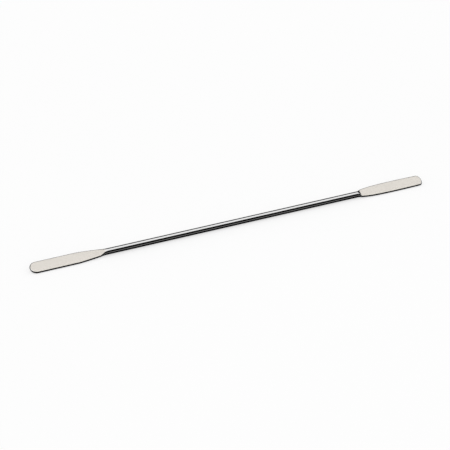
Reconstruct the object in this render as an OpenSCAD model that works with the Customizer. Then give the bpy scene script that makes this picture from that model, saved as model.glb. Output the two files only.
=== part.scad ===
// Double-ended micro spatula, pressed from one length of stainless steel rod.
// The rod lies along X and stays round between its ends. Each end is pressed
// flat between dies: the metal steps down over a short shoulder and spreads
// sideways into a thin blade with rounded edges. One blade has parallel edges
// and a full round tip. The other swells towards its middle and ends nearly
// square. It lies on a bench as it comes to rest: on the underside of the rod
// and on one long edge of each blade.

/* [Whole spatula] */
// Length from tip to tip
overall_len = 200; // [160:1:250]
// Diameter of the rod
rod_d = 3; // [2.2:0.1:4]
// Thickness of the pressed blades
blade_t = 1.1; // [0.7:0.05:1.6]

/* [Round-tipped blade] */
// Width between the parallel edges
round_w = 6.2; // [4.6:0.1:9]
// Length of the parallel part with its tip
round_parallel = 22.5; // [12:0.5:32]
// Length over which the blade widens from the rod
round_flare = 15.5; // [8:0.5:24]
// Length of the shoulder between the rod and the flat
round_shoulder = 5; // [2:0.5:7]

/* [Square-tipped blade] */
// Width at the widest place
square_w = 6.2; // [5.4:0.1:9]
// Width at the start of the tip's corners
square_tip_w = 5.9; // [4.8:0.1:6.4]
// Length from the widest place to the tip
square_reach = 16; // [10:0.5:24]
// Length over which the blade widens from the rod
square_flare = 19.5; // [12:0.5:28]
// Length of the shoulder between the rod and the flat
square_shoulder = 2.5; // [1.5:0.5:7]
// Radius of the crowned end
square_end_r = 4; // [3.6:0.1:8]
// Radius of the two corners
square_corner_r = 1.7; // [1:0.1:2.2]

/* [Hidden] */

rod_r = rod_d / 2;
blade_h = blade_t / 2;
round_len = round_parallel + round_flare;
square_len = square_reach + square_flare;
rod_start = -overall_len / 2 + round_len;
rod_end = overall_len / 2 - square_len;

// Roll about the rod at which the blades' rounded edges meet the bench, or
// where one blade is made wider, that one's edge
edge_reach = max(round_w, square_w) / 2 - blade_h;
rest_roll = asin((rod_r - blade_h) / edge_reach);

// The round-tipped blade widens almost in a straight line: 1 would be straight
round_power = 1.2;
// The square-tipped blade springs out with this power, then swells slowly
square_power = 5;
square_swell = 0.32;

// The blades' facets begin just inside the rod's round, and its ends lap into them
facet_relief = 0.01;
root_r = rod_r - facet_relief;
root_lap = 0.05;

// The rod's seam lies this far round from its lowest line as it rests, on the
// side away from the blades' lower edges
seam_lean = 3.6;

// Facets: along a flare, along the swell, round a tip or corner, round an edge
flare_steps = 21;
swell_steps = 6;
tip_steps = 6;
edge_steps = 8;
rod_facets = 96;

function ease(u) = u * u * (3 - 2 * u);
function spring(u, power) = 1 - pow(1 - u, power);

// Places along a flare from 0 to 1, closer together at the rod's end
function along_flare() = [for (i = [0:flare_steps]) pow(i / flare_steps, 1.4)];

// Share of its spread that each blade has reached at a place along its flare
function round_share(u) = spring(u, round_power);
function square_share(u) =
    square_swell * sin(90 * u) + (1 - square_swell) * spring(u, square_power);

// A station is the centre of one blade edge's rounding, the way that the
// rounding faces in plan, and its radius: [x, y, angle from Y, radius].
function side_station(x, half_w, r) = [x, half_w - r, 0, r];
function arc_station(x, y, r, a) =
    [x + (r - blade_h) * sin(a), y + (r - blade_h) * cos(a), a, blade_h];

// Along the shoulder the press closes from the round to the blade's thickness
function flare_station(x, share, blade_w, shoulder) =
    let (
        closed = ease(min(x / shoulder, 1)),
        half_t = root_r - (root_r - blade_h) * closed,
        half_w = root_r + (blade_w / 2 - root_r) * share * closed
    )
    side_station(x, half_w, half_t);

function round_stations() =
    let (tip_r = round_w / 2, tip_x = round_len - tip_r)
    concat(
        [for (u = along_flare())
            flare_station(u * round_flare, round_share(u), round_w, round_shoulder)],
        [for (i = [0:2 * tip_steps]) arc_station(tip_x, 0, tip_r, 45 * i / tip_steps)]
    );

function square_stations() =
    let (
        wide = square_w / 2,
        tip = square_tip_w / 2,
        end_x = square_len - square_end_r,
        corner_y = tip - square_corner_r,
        corner_a = acos(corner_y / (square_end_r - square_corner_r)),
        corner_x = end_x + (square_end_r - square_corner_r) * sin(corner_a),
        swell = corner_x - square_flare
    )
    concat(
        [for (u = along_flare())
            flare_station(u * square_flare, square_share(u), square_w, square_shoulder)],
        [for (i = [1:swell_steps - 1]) let (v = i / swell_steps)
            side_station(square_flare + v * swell, wide - (wide - tip) * v * v, blade_h)],
        [for (i = [0:tip_steps])
            arc_station(corner_x, corner_y, square_corner_r, corner_a * i / tip_steps)],
        [for (i = [1:tip_steps])
            arc_station(end_x, 0, square_end_r, corner_a + (90 - corner_a) * i / tip_steps)]
    );

// One point of a station's rounding, on the +Y side for side 1 and -Y for -1
function edge_point(s, side, j) =
    let (t = 90 - 180 * j / edge_steps)
    [s[0] + s[3] * cos(t) * sin(s[2]), side * (s[1] + s[3] * cos(t) * cos(s[2])), s[3] * sin(t)];

// A blade from its stations, with the rod's end at x = 0 and the tip at +X
module blade(stations) {
    row = edge_steps + 1;
    last = len(stations) - 1;
    // The two sides share their points round the tip, and at the rod's top and bottom
    function shared(i, j) = i == last || (i == 0 && j % edge_steps == 0);
    function at(side, i, j) = ((shared(i, j) ? 0 : side) * (last + 1) + i) * row + j;
    points = [for (side = [1, -1], s = stations, j = [0:edge_steps]) edge_point(s, side, j)];
    edges = [for (i = [0:last - 1], j = [0:edge_steps - 1]) each [
        [at(0, i, j), at(0, i, j + 1), at(0, i + 1, j + 1), at(0, i + 1, j)],
        [at(1, i, j), at(1, i + 1, j), at(1, i + 1, j + 1), at(1, i, j + 1)]
    ]];
    flats = [for (i = [0:last - 1]) each [
        [at(0, i, 0), at(0, i + 1, 0), at(1, i + 1, 0), at(1, i, 0)],
        [at(0, i, edge_steps), at(1, i, edge_steps), at(1, i + 1, edge_steps), at(0, i + 1, edge_steps)]
    ]];
    root = [concat(
        [for (j = [0:edge_steps]) at(1, 0, j)],
        [for (j = [edge_steps - 1:-1:1]) at(0, 0, j)]
    )];
    polyhedron(points, concat(edges, flats, root), convexity = 4);
}

module rod() {
    translate([rod_start - root_lap, 0, 0])
    rotate([seam_lean - rest_roll, 0, 0])
    rotate([0, 90, 0])
    cylinder(h = rod_end - rod_start + 2 * root_lap, r = rod_r, $fn = rod_facets);
}

module spatula() {
    color([0.78, 0.77, 0.75])
    translate([0, 0, rod_r])
    rotate([rest_roll, 0, 0])
    union() {
        rod();
        translate([rod_start, 0, 0]) mirror([1, 0, 0]) blade(round_stations());
        translate([rod_end, 0, 0]) blade(square_stations());
    }
}

spatula();
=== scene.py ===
"""A double-ended micro spatula pressed from one steel rod, on a pale bench in a light tent."""

import math

import bmesh
import bpy
from bpy.props import FloatProperty, FloatVectorProperty, IntProperty, PointerProperty
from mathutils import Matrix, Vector


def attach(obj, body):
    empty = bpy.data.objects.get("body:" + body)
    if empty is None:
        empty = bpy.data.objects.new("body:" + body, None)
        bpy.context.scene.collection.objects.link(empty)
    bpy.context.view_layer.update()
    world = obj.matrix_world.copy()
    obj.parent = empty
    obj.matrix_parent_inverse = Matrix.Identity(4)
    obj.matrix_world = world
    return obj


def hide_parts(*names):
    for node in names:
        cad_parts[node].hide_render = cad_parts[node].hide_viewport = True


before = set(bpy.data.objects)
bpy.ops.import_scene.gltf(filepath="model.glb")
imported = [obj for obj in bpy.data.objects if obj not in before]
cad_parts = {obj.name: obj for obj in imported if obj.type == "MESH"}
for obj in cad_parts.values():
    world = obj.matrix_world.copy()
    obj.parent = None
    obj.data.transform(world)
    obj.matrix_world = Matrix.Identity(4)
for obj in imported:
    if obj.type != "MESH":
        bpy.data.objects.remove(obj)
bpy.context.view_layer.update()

bl_info = {
    "name": "Micro spatula",
    "version": (1, 0, 0),
    "blender": (4, 5, 0),
    "location": "3D View > Sidebar > Spatula",
    "description": "Models a double-ended micro spatula and the light tent around it",
    "category": "Object",
}

MM = 0.001

# Along its flare the round-tipped blade widens almost in a straight line: 1 would be straight
ROUND_POWER = 1.2
# The square-tipped blade springs out with this power, then swells slowly by this share
SQUARE_POWER = 5
SQUARE_SWELL = 0.32
# The shoulders close late in their length: 1 would be even
SHOULDER_LATE = 1.4

# Rings along a shoulder, along the rest of a flare and along the square-tipped blade's swell
SHOULDER_RINGS, FLARE_RINGS, SWELL_RINGS = 22, 20, 12
# Steps round the full tip, round one corner and round the crowned end
TIP_STEPS, CORNER_STEPS, CROWN_STEPS = 28, 12, 16

# Vertices this near to a plane belong to it, and a move smaller than STILL is left out
SAME_PLANE = 1e-7
ROUGH_PLANE = 1e-5
SAME_POINT = 2e-6
STILL = 1e-9

# Shares of a shoulder's length over which the satin finish sets in, and how level it starts
ROUND_SATIN = (0.25, 0.55)
SQUARE_SATIN = (0.3, 0.8)
LEVEL_SATIN = (0.9, 0.95)


def length(name, description, millimetres):
    """A size in metres, with its default written in millimetres."""
    return FloatProperty(name=name, description=description, default=millimetres * MM,
                         min=0.0, unit="LENGTH", subtype="DISTANCE", precision=5)


def share(name, description, default):
    """A plain number from 0 to 1."""
    return FloatProperty(name=name, description=description, default=default,
                         min=0.0, max=1.0, subtype="FACTOR")


def colour(name, description, default):
    """A linear colour."""
    return FloatVectorProperty(name=name, description=description, default=default,
                               size=3, min=0.0, max=1.0, subtype="COLOR")


class SpatulaSizes(bpy.types.PropertyGroup):
    """Sizes of the rod and of its two pressed blades."""

    overall_len: length("Overall length", "Length from tip to tip", 200)
    rod_d: length("Rod diameter", "Diameter of the rod", 3)
    blade_t: length("Blade thickness", "Thickness of the pressed blades", 1.1)
    round_w: length("Round blade width", "Width between the parallel edges", 6.2)
    round_parallel: length("Round blade parallel", "Length of the parallel part with its tip",
                           22.5)
    round_flare: length("Round blade flare", "Length over which the blade widens", 15.5)
    round_shoulder: length("Round shoulder", "Length between the rod and the flat", 5)
    square_w: length("Square blade width", "Width at the widest place", 6.2)
    square_tip_w: length("Square tip width", "Width at the start of the tip's corners", 5.9)
    square_reach: length("Square blade reach", "Length from the widest place to the tip", 16)
    square_flare: length("Square blade flare", "Length over which the blade widens", 19.5)
    square_shoulder: length("Square shoulder", "Length between the rod and the flat", 2.5)
    square_end_r: length("Square end radius", "Radius of the crowned end", 4)
    square_corner_r: length("Square corner radius", "Radius of the two corners", 1.7)
    rod_facets: IntProperty(name="Rod facets", description="Facets round the rod",
                            default=64, min=16, max=128)


class SteelLook(bpy.types.PropertyGroup):
    """Colours and finishes of the stainless steel."""

    polished_rgb: colour("Polished steel", "Colour of the bright rod and edges", (0.8, 0.8, 0.8))
    ground_rgb: colour("Ground steel", "Colour of the satin blade faces", (0.86, 0.818, 0.758))
    polished_roughness: share("Polished roughness", "Roughness of the rod and edges", 0.07)
    ground_roughness: share("Ground roughness", "Roughness of the blade faces", 0.34)


class StudioLook(bpy.types.PropertyGroup):
    """The bench, the light tent and the camera."""

    floor_rgb: colour("Bench", "Colour of the bench", (0.99, 0.99, 0.99))
    floor_glow: share("Bench glow", "Share of the bench's light that comes up through it", 0.6)
    tent_rgb: colour("Tent", "Colour of the light that the tent gives", (1.0, 1.0, 1.0))
    flag_rgb: colour("Black flag", "Colour of the black flags and strips", (0.002, 0.002, 0.002))
    strip_rgb: colour("Pale strip", "Colour of the pale band on the bench along the rod",
                      (0.2, 0.2, 0.2))
    card_rgb: colour("Grey card", "Colour of the cards beyond the spatula and at its square tip",
                     (0.045, 0.045, 0.045))
    view_tilt: FloatProperty(name="View tilt", description="Angle at which the camera looks down",
                             default=math.radians(32.0), subtype="ANGLE")
    view_turn: FloatProperty(name="View turn", description="Angle between the view and the Y axis",
                             default=math.radians(23.305), subtype="ANGLE")
    view_distance: length("View distance", "From the camera to the middle of the rod", 816.5)
    aim_left: length("Aim left", "How far the view's centre lies left of the rod's middle", 3.94)
    aim_below: length("Aim below", "How far the view's centre lies below the rod's middle", 1.13)
    lens: FloatProperty(name="Lens", description="Focal length in millimetres on a 36 mm sensor",
                        default=139.1, min=10.0)


# ---------------------------------------------------------------- shaping in edit mode

def ease(u):
    """A smooth step from 0 to 1."""
    return u * u * (3 - 2 * u)


def spring(u, power):
    """A rise from 0 to 1 that starts steeply and levels off."""
    return 1 - (1 - u) ** power


def round_share(u):
    """Share of its spread that the round-tipped blade has reached along its flare."""
    return spring(u, ROUND_POWER)


def square_share(u):
    """Share of its spread that the square-tipped blade has reached along its flare."""
    slow = math.sin(math.pi / 2 * u)
    return SQUARE_SWELL * slow + (1 - SQUARE_SWELL) * spring(u, SQUARE_POWER)


def roots(sizes):
    """Where along X the rod ends and each blade begins."""
    return (-sizes.overall_len / 2 + sizes.round_parallel + sizes.round_flare,
            sizes.overall_len / 2 - sizes.square_reach - sizes.square_flare)


def rest_roll(sizes):
    """Roll about the rod at which the wider blade's rounded edge meets the bench."""
    blade_h = sizes.blade_t / 2
    edge_reach = max(sizes.round_w, sizes.square_w) / 2 - blade_h
    return math.asin((sizes.rod_d / 2 - blade_h) / edge_reach)


class Work:
    """A mesh in edit mode whose end ring is pulled out, pressed and spread."""

    def __init__(self, obj):
        self.obj = obj

    def select(self, wanted):
        """Select only the vertices that wanted accepts, and return how many there are."""
        shape = bmesh.from_edit_mesh(self.obj.data)
        count = 0
        for face in shape.faces:
            face.select = False
        for edge in shape.edges:
            edge.select = False
        for vert in shape.verts:
            vert.select = wanted(vert.co)
            count += vert.select
        shape.select_flush_mode()
        bmesh.update_edit_mesh(self.obj.data, loop_triangles=False, destructive=False)
        return count

    def ring(self, x, side=0):
        """Select the ring at x: all of it, or the half towards +Y or -Y."""
        found = self.select(lambda co: abs(co.x - x) < SAME_PLANE and co.y * side >= 0)
        if not found:
            raise RuntimeError(f"no ring at x = {x:.6f}")

    def pull(self, start, stations):
        """Extrude the end ring through stations of (x, thickness / 2, width / 2)."""
        x, half_t, half_w = start
        for new_x, new_t, new_w in stations:
            self.ring(x)
            bpy.ops.mesh.extrude_region_move(TRANSFORM_OT_translate={"value": (new_x - x, 0, 0)})
            press = new_t / half_t
            if abs(press - 1) > STILL:
                bpy.ops.transform.resize(value=(1, press, press), center_override=(new_x, 0, 0))
            spread = (new_w - new_t) - (half_w - half_t) * press
            if abs(spread) > STILL:
                for side in (1, -1):
                    self.ring(new_x, side)
                    bpy.ops.transform.translate(value=(0, side * spread, 0))
            x, half_t, half_w = new_x, new_t, new_w
        return x, half_t, half_w

    def open_end(self, x):
        """Take away the face that closes the ring at x."""
        self.ring(x)
        bpy.ops.mesh.delete(type="ONLY_FACE")

    def sweep(self, turns):
        """Spin the selected half profile through turns of (centre x, centre y, angle, steps)."""
        for centre_x, centre_y, angle, steps in turns:
            bpy.ops.mesh.spin(steps=steps, angle=angle, center=(centre_x, centre_y, 0),
                              axis=(0, 0, 1), use_auto_merge=False)


def flare(root_x, way, flare_len, shoulder, blade_w, rod_r, blade_h, spread_at):
    """Stations from the rod's end: pressed down over the shoulder, widened over the flare."""
    marks = [shoulder * i / SHOULDER_RINGS for i in range(1, SHOULDER_RINGS + 1)]
    marks += [shoulder + (flare_len - shoulder) * i / FLARE_RINGS
              for i in range(1, FLARE_RINGS + 1)]
    stations = []
    for run in marks:
        closed = ease(min(run / shoulder, 1) ** SHOULDER_LATE)
        half_t = rod_r - (rod_r - blade_h) * closed
        half_w = rod_r + (blade_w / 2 - rod_r) * spread_at(run / flare_len) * closed
        stations.append((root_x + way * run, half_t, half_w))
    return stations


def only_active(obj):
    """Deselect everything, then select obj and make it active."""
    bpy.ops.object.select_all(action="DESELECT")
    obj.select_set(True)
    bpy.context.view_layer.objects.active = obj


class SPATULA_OT_make_spatula(bpy.types.Operator):
    """Model the rod and press its two ends into blades"""

    bl_idname = "spatula.make_spatula"
    bl_label = "Make the spatula"

    def execute(self, context):
        sizes = context.scene.spatula_sizes
        rod_r, blade_h = sizes.rod_d / 2, sizes.blade_t / 2
        round_root, square_root = roots(sizes)
        work = self.rod(sizes, round_root, square_root)
        self.round_blade(work, sizes, round_root, rod_r, blade_h)
        self.square_blade(work, sizes, square_root, rod_r, blade_h)
        self.close(work)
        self.lay_down(work.obj, sizes)
        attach(work.obj, "root")
        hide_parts("spatula")
        return {"FINISHED"}

    def rod(self, sizes, round_root, square_root):
        """The rod between the two roots, turned so that none of its points lies at Y = 0."""
        bpy.ops.object.select_all(action="DESELECT")
        bpy.ops.mesh.primitive_cylinder_add(
            vertices=sizes.rod_facets, radius=sizes.rod_d / 2, depth=square_root - round_root,
            location=((square_root + round_root) / 2, 0, 0), rotation=(0, math.pi / 2, 0),
            end_fill_type="NGON")
        obj = bpy.context.object
        obj.name = obj.data.name = "spatula_steel"
        only_active(obj)
        bpy.ops.object.transform_apply(location=True, rotation=True, scale=True)
        bpy.ops.object.mode_set(mode="EDIT")
        bpy.ops.mesh.select_mode(type="VERT")
        bpy.ops.mesh.select_all(action="SELECT")
        bpy.ops.transform.rotate(value=math.pi / sizes.rod_facets, orient_axis="X",
                                 center_override=(0, 0, 0))
        return Work(obj)

    def round_blade(self, work, sizes, root_x, rod_r, blade_h):
        """Parallel edges and a full round tip, towards -X."""
        tip_r = sizes.round_w / 2
        tip_x = -sizes.overall_len / 2 + tip_r
        stations = flare(root_x, -1, sizes.round_flare, sizes.round_shoulder, sizes.round_w,
                         rod_r, blade_h, round_share)
        start = self.mend_root(work, root_x, rod_r)
        end = work.pull(start, stations)
        work.pull(end, [(tip_x, blade_h, tip_r)])
        work.open_end(tip_x)
        work.ring(tip_x, 1)
        work.sweep([(tip_x, 0, -math.pi, TIP_STEPS)])

    def square_blade(self, work, sizes, root_x, rod_r, blade_h):
        """A blade that swells, then ends nearly square with a crowned end, towards +X."""
        wide, tip = sizes.square_w / 2, sizes.square_tip_w / 2
        end_x = sizes.overall_len / 2 - sizes.square_end_r
        corner_y = tip - sizes.square_corner_r
        corner_a = math.acos(corner_y / (sizes.square_end_r - sizes.square_corner_r))
        corner_x = end_x + (sizes.square_end_r - sizes.square_corner_r) * math.sin(corner_a)
        stations = flare(root_x, 1, sizes.square_flare, sizes.square_shoulder, sizes.square_w,
                         rod_r, blade_h, square_share)
        start = self.mend_root(work, root_x, rod_r)
        end = work.pull(start, stations)
        swell = corner_x - end[0]
        steps = [i / SWELL_RINGS for i in range(1, SWELL_RINGS + 1)]
        work.pull(end, [(end[0] + v * swell, blade_h, wide - (wide - tip) * v * v) for v in steps])
        work.open_end(corner_x)
        work.ring(corner_x, 1)
        crown = math.pi - 2 * corner_a
        work.sweep([(corner_x, corner_y, corner_a, CORNER_STEPS), (end_x, 0, crown, CROWN_STEPS),
                    (corner_x, -corner_y, corner_a, CORNER_STEPS)])

    def mend_root(self, work, root_x, rod_r):
        """Put the rod's end ring at its exact place, and return its station."""
        work.select(lambda co: abs(co.x - root_x) < ROUGH_PLANE)
        shape = bmesh.from_edit_mesh(work.obj.data)
        for vert in shape.verts:
            if vert.select:
                vert.co.x = root_x
        bmesh.update_edit_mesh(work.obj.data)
        return root_x, rod_r, rod_r

    def close(self, work):
        """Join the swept tips to the blades and fill the blades' flat faces."""
        bpy.ops.mesh.select_all(action="SELECT")
        bpy.ops.mesh.remove_doubles(threshold=SAME_POINT)
        bpy.ops.mesh.select_all(action="DESELECT")
        bpy.ops.mesh.select_non_manifold()
        bpy.ops.mesh.fill_holes(sides=0)
        bpy.ops.mesh.select_all(action="SELECT")
        bpy.ops.mesh.normals_make_consistent(inside=False)
        bpy.ops.mesh.select_all(action="DESELECT")
        bpy.ops.object.mode_set(mode="OBJECT")
        shape = bmesh.new()
        shape.from_mesh(work.obj.data)
        loose = sum(not edge.is_manifold for edge in shape.edges)
        shape.free()
        if loose:
            raise RuntimeError(f"the spatula has {loose} open edges")

    def lay_down(self, obj, sizes):
        """Roll the spatula until a blade's edge meets the bench, and rest the rod on it."""
        only_active(obj)
        obj.rotation_euler = (rest_roll(sizes), 0, 0)
        obj.location = (0, 0, sizes.rod_d / 2)
        bpy.ops.object.transform_apply(location=True, rotation=True, scale=True)
        bpy.ops.object.shade_smooth()
        soften = obj.modifiers.new("Even normals", "WEIGHTED_NORMAL")
        soften.mode = "FACE_AREA"
        soften.weight = 70
        bpy.ops.object.modifier_apply(modifier=soften.name)


# ---------------------------------------------------------------- materials

class Value:
    """A socket that can be used in sums: each operator adds a Math node."""

    def __init__(self, graph, socket):
        self.graph = graph
        self.socket = socket

    def __add__(self, other):
        return self.graph.math("ADD", self, other)

    __radd__ = __add__

    def __sub__(self, other):
        return self.graph.math("SUBTRACT", self, other)

    def __rsub__(self, other):
        return self.graph.math("SUBTRACT", other, self)

    def __mul__(self, other):
        return self.graph.math("MULTIPLY", self, other)

    __rmul__ = __mul__

    def __abs__(self):
        return self.graph.math("ABSOLUTE", self)

    def between(self, low, high):
        """0 below low and 1 above high, or the other way round, with a smooth step."""
        return self.graph.node("ShaderNodeMapRange", {"interpolation_type": "SMOOTHSTEP"},
                               {"Value": self, "From Min": low, "From Max": high})


class Graph:
    """The node tree of a material or a world."""

    def __init__(self, tree):
        self.tree = tree
        tree.nodes.clear()

    def node(self, kind, settings=None, inputs=None, output=0):
        """Add a node, set its settings, then give its sockets their values or links."""
        made = self.tree.nodes.new(kind)
        for name, setting in (settings or {}).items():
            setattr(made, name, setting)
        for key, given in (inputs or {}).items():
            if isinstance(given, Value):
                self.tree.links.new(given.socket, made.inputs[key])
            else:
                made.inputs[key].default_value = given
        return Value(self, made.outputs[output]) if made.outputs else made

    def math(self, operation, first, second=0.0):
        """One Math node."""
        return self.node("ShaderNodeMath", {"operation": operation}, {0: first, 1: second})

    def mix_colour(self, factor, low, high):
        """A colour between low and high."""
        return self.node("ShaderNodeMix", {"data_type": "RGBA"}, {0: factor, 6: low, 7: high}, 2)

    def grain(self, place, stretch, detail):
        """Noise from about 0 to 1, at stretch cells per metre along each axis."""
        spot = self.node("ShaderNodeMapping", {"vector_type": "POINT"},
                         {"Vector": place, "Scale": stretch})
        return self.node("ShaderNodeTexNoise", None,
                         {"Vector": spot, "Scale": 1.0, "Detail": detail, "Roughness": 0.55})


def rgba(rgb):
    """A colour with full alpha."""
    return (*rgb, 1.0)


def new_graph(name):
    """A material and its emptied node tree."""
    material = bpy.data.materials.new(name)
    material.use_nodes = True
    return material, Graph(material.node_tree)


def stage_surface(name, rgb, roughness, glow=0.0):
    """A matt, faintly uneven surface that gives the share glow of its light itself."""
    material, graph = new_graph(name)
    place = graph.node("ShaderNodeTexCoord", None, None, "Object")
    cloud = graph.grain(place, (3.0, 3.0, 3.0), 2.0)
    full = graph.mix_colour(cloud, rgba([c * 0.985 for c in rgb]), rgba(rgb))
    inputs = {"Base Color": full, "Roughness": roughness, "Specular IOR Level": 0.0}
    if glow > 0:
        inputs["Base Color"] = graph.mix_colour(1 - glow, rgba((0, 0, 0)), full)
        inputs["Emission Color"] = full
        inputs["Emission Strength"] = glow
    surface = graph.node("ShaderNodeBsdfPrincipled", None, inputs)
    graph.node("ShaderNodeOutputMaterial", None, {"Surface": surface})
    return material


class SPATULA_OT_finish_steel(bpy.types.Operator):
    """Give the spatula its polished rod and satin-ground blade faces"""

    bl_idname = "spatula.finish_steel"
    bl_label = "Finish the steel"

    def execute(self, context):
        sizes, look = context.scene.spatula_sizes, context.scene.spatula_steel
        piece = bpy.data.objects.get("spatula_steel")
        if piece is None:
            raise RuntimeError("make the spatula before its finish")
        lying = (rest_roll(sizes), 0, 0)
        material, graph = new_graph("stainless_steel")
        # Place and normal as they were before the spatula was laid down
        coords = graph.node("ShaderNodeTexCoord", None, None, "Object")
        level = graph.node("ShaderNodeMapping", {"vector_type": "TEXTURE"},
                           {"Vector": coords, "Location": (0, 0, sizes.rod_d / 2),
                            "Rotation": lying})
        normal = graph.node("ShaderNodeTexCoord", None, None, "Normal")
        upright = graph.node("ShaderNodeMapping", {"vector_type": "TEXTURE"},
                             {"Vector": normal, "Rotation": lying})
        along = graph.node("ShaderNodeSeparateXYZ", None, {"Vector": level}, "X")
        facing = graph.node("ShaderNodeSeparateXYZ", None, {"Vector": upright}, "Z")
        round_root, square_root = roots(sizes)
        on_round = along.between(*(round_root - part * sizes.round_shoulder
                                   for part in ROUND_SATIN))
        on_square = along.between(*(square_root + part * sizes.square_shoulder
                                    for part in SQUARE_SATIN))
        ground = (on_round + on_square) * abs(facing).between(*LEVEL_SATIN)

        # Strokes of the grinding and the drawing, long in X, and smudges from handling
        fine = graph.grain(level, (900.0, 9000.0, 9000.0), 3.0)
        broad = graph.grain(level, (150.0, 2200.0, 2200.0), 2.0)
        strokes = 0.5 * fine + 0.5 * broad
        drawn = graph.grain(level, (120.0, 6000.0, 6000.0), 2.0)
        smudge = graph.grain(level, (70.0, 160.0, 160.0), 4.0)
        handled = smudge.between(0.45, 0.75)

        bright = graph.mix_colour(drawn, rgba([c * 0.97 for c in look.polished_rgb]),
                                  rgba(look.polished_rgb))
        satin = graph.mix_colour(strokes, rgba([c * 0.9 for c in look.ground_rgb]),
                                 rgba([min(c * 1.08, 1.0) for c in look.ground_rgb]))
        shade = graph.mix_colour(ground, bright, satin)
        polished = look.polished_roughness + 0.05 * handled + 0.03 * (drawn - 0.5)
        satin_rough = look.ground_roughness + 0.05 * handled + 0.12 * (strokes - 0.5)
        rough = polished + ground * (satin_rough - polished)
        relief = 0.35 * drawn * (1 - ground) + ground * strokes
        bump = graph.node("ShaderNodeBump", None,
                          {"Strength": 0.3, "Distance": 0.00003, "Height": relief})
        surface = graph.node("ShaderNodeBsdfPrincipled", None,
                             {"Base Color": shade, "Metallic": 1.0, "Roughness": rough,
                              "Normal": bump})
        graph.node("ShaderNodeOutputMaterial", None, {"Surface": surface})
        piece.data.materials.clear()
        piece.data.materials.append(material)
        return {"FINISHED"}


# ---------------------------------------------------------------- stage

def card(name, low, high, material):
    """An upright or flat card from corner low to corner high, which only reflections show."""
    low, high = Vector(low), Vector(high)
    bpy.ops.object.select_all(action="DESELECT")
    bpy.ops.mesh.primitive_plane_add(size=1.0, location=(0, 0, 0))
    obj = bpy.context.object
    obj.name = obj.data.name = name
    only_active(obj)
    span = high - low
    if span.z < 1e-6:
        obj.scale = (span.x, span.y, 1)
    elif span.y < 1e-6:
        obj.rotation_euler, obj.scale = (math.pi / 2, 0, 0), (span.x, span.z, 1)
    else:
        obj.rotation_euler, obj.scale = (math.pi / 2, 0, math.pi / 2), (span.y, span.z, 1)
    obj.location = (low + high) / 2
    bpy.ops.object.transform_apply(location=True, rotation=True, scale=True)
    bpy.ops.object.mode_set(mode="EDIT")
    bpy.ops.mesh.select_all(action="SELECT")
    bpy.ops.mesh.subdivide(number_cuts=3)
    bpy.ops.object.mode_set(mode="OBJECT")
    obj.data.materials.append(material)
    obj.visible_camera = obj.visible_diffuse = obj.visible_shadow = False
    obj.visible_transmission = obj.visible_volume_scatter = False


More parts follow.
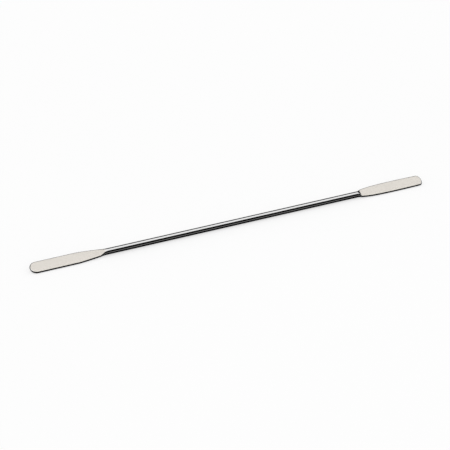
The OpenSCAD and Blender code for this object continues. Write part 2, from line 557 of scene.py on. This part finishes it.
class SPATULA_OT_set_stage(bpy.types.Operator):
    """Lay the bench, hang the light tent with its cards and set the camera"""

    bl_idname = "spatula.set_stage"
    bl_label = "Set the stage"

    def execute(self, context):
        look = context.scene.spatula_studio
        self.bench(look)
        self.tent(context.scene, look)
        self.cards(look)
        self.camera(context.scene, look)
        return {"FINISHED"}

    def bench(self, look):
        """A flat, pale bench top that reaches far beyond the view."""
        bpy.ops.object.select_all(action="DESELECT")
        bpy.ops.mesh.primitive_plane_add(size=8.0, location=(0, 0, 0))
        obj = bpy.context.object
        obj.name = obj.data.name = "bench"
        only_active(obj)
        bpy.ops.object.mode_set(mode="EDIT")
        bpy.ops.mesh.select_all(action="SELECT")
        bpy.ops.mesh.subdivide(number_cuts=7)
        bpy.ops.object.mode_set(mode="OBJECT")
        white = stage_surface("bench_white", look.floor_rgb, 0.6, look.floor_glow)
        obj.data.materials.append(white)

    def tent(self, scene, look):
        """An even white light from all round."""
        world = bpy.data.worlds.new("light_tent")
        world.use_nodes = True
        graph = Graph(world.node_tree)
        glow = graph.node("ShaderNodeBackground", None,
                          {"Color": rgba(look.tent_rgb), "Strength": 1.0})
        graph.node("ShaderNodeOutputWorld", None, {"Surface": glow})
        scene.world = world
        scene.view_settings.view_transform = "Standard"

    def cards(self, look):
        """Black flags in front and at the round tip, grey cards beyond and at the square tip.

        Strips on the bench darken what the steel reflects of it.
        """
        black = stage_surface("flag_black", look.flag_rgb, 0.9)
        grey = stage_surface("card_grey", look.card_rgb, 0.9)
        band = stage_surface("strip_pale", look.strip_rgb, 0.9)
        # Upright cards at these distances, with their tops at these angles above the bench
        far, near, wide, half = 0.9, 0.6, 3.0, 0.4
        front_top, left_top = self.rise(far, 56), self.rise(near, 28)
        right_top, back_top = self.rise(near, 30), self.rise(far, 63)
        card("black_flag", (-wide, -far, 0.0), (wide, -far, front_top), black)
        card("left_flag", (-near, -half, 0.0), (-near, half, left_top), black)
        card("end_card", (near, -far, 0.0), (near, far, right_top), grey)
        card("grey_card", (-wide, far, 0.0), (wide, far, back_top), grey)
        # Strips just above the bench: in front of the rod, and past each tip on the far side
        low = 0.02 * MM
        band_low, band_start, band_end = 1.5 * low, -66 * MM, 68 * MM
        band_front, band_back = -15 * MM, -4.5 * MM
        past_tip, left_back, right_back = 100.4 * MM, 60 * MM, 300 * MM
        card("near_strip", (-wide, -far, low), (wide, 0.0, low), black)
        card("pale_strip", (band_start, band_front, band_low), (band_end, band_back, band_low),
             band)
        card("left_strip", (-wide, 0.0, low), (-past_tip, left_back, low), black)
        card("right_strip", (past_tip, 0.0, low), (wide, right_back, low), black)

    def rise(self, distance, degrees):
        """Height of a card whose top, seen from the bench's middle, stands at this angle."""
        return distance * math.tan(math.radians(degrees))

    def camera(self, scene, look):
        """A long lens that looks down across the spatula."""
        tilt, turn = look.view_tilt, look.view_turn
        ahead = Vector((math.sin(turn) * math.cos(tilt), math.cos(turn) * math.cos(tilt),
                        -math.sin(tilt)))
        right = Vector((math.cos(turn), -math.sin(turn), 0))
        up = right.cross(ahead)
        middle = Vector((0, 0, scene.spatula_sizes.rod_d / 2))
        aim = middle - right * look.aim_left - up * look.aim_below
        data = bpy.data.cameras.new("view")
        data.lens = look.lens
        data.sensor_width = 36.0
        data.clip_start = 0.01
        eye = bpy.data.objects.new("view", data)
        scene.collection.objects.link(eye)
        eye.location = aim - ahead * look.view_distance
        eye.rotation_euler = ahead.to_track_quat("-Z", "Y").to_euler()
        scene.camera = eye


class SPATULA_PT_panel(bpy.types.Panel):
    """The spatula's steps in the sidebar"""

    bl_label = "Micro spatula"
    bl_idname = "SPATULA_PT_panel"
    bl_space_type = "VIEW_3D"
    bl_region_type = "UI"
    bl_category = "Spatula"

    def draw(self, context):
        for step in STEPS:
            self.layout.operator(step.bl_idname)
        for group in (context.scene.spatula_sizes, context.scene.spatula_steel,
                      context.scene.spatula_studio):
            box = self.layout.box()
            for name in group.bl_rna.properties.keys():
                if name not in ("rna_type", "name"):
                    box.prop(group, name)


STEPS = (SPATULA_OT_make_spatula, SPATULA_OT_finish_steel, SPATULA_OT_set_stage)
GROUPS = {"spatula_sizes": SpatulaSizes, "spatula_steel": SteelLook, "spatula_studio": StudioLook}


def register():
    for kind in (*GROUPS.values(), *STEPS, SPATULA_PT_panel):
        bpy.utils.register_class(kind)
    for name, kind in GROUPS.items():
        setattr(bpy.types.Scene, name, PointerProperty(type=kind))


def unregister():
    for name in GROUPS:
        delattr(bpy.types.Scene, name)
    for kind in reversed((*GROUPS.values(), *STEPS, SPATULA_PT_panel)):
        bpy.utils.unregister_class(kind)


def main():
    register()
    bpy.ops.spatula.make_spatula()
    bpy.ops.spatula.finish_steel()
    bpy.ops.spatula.set_stage()


if __name__ == "__main__":
    main()
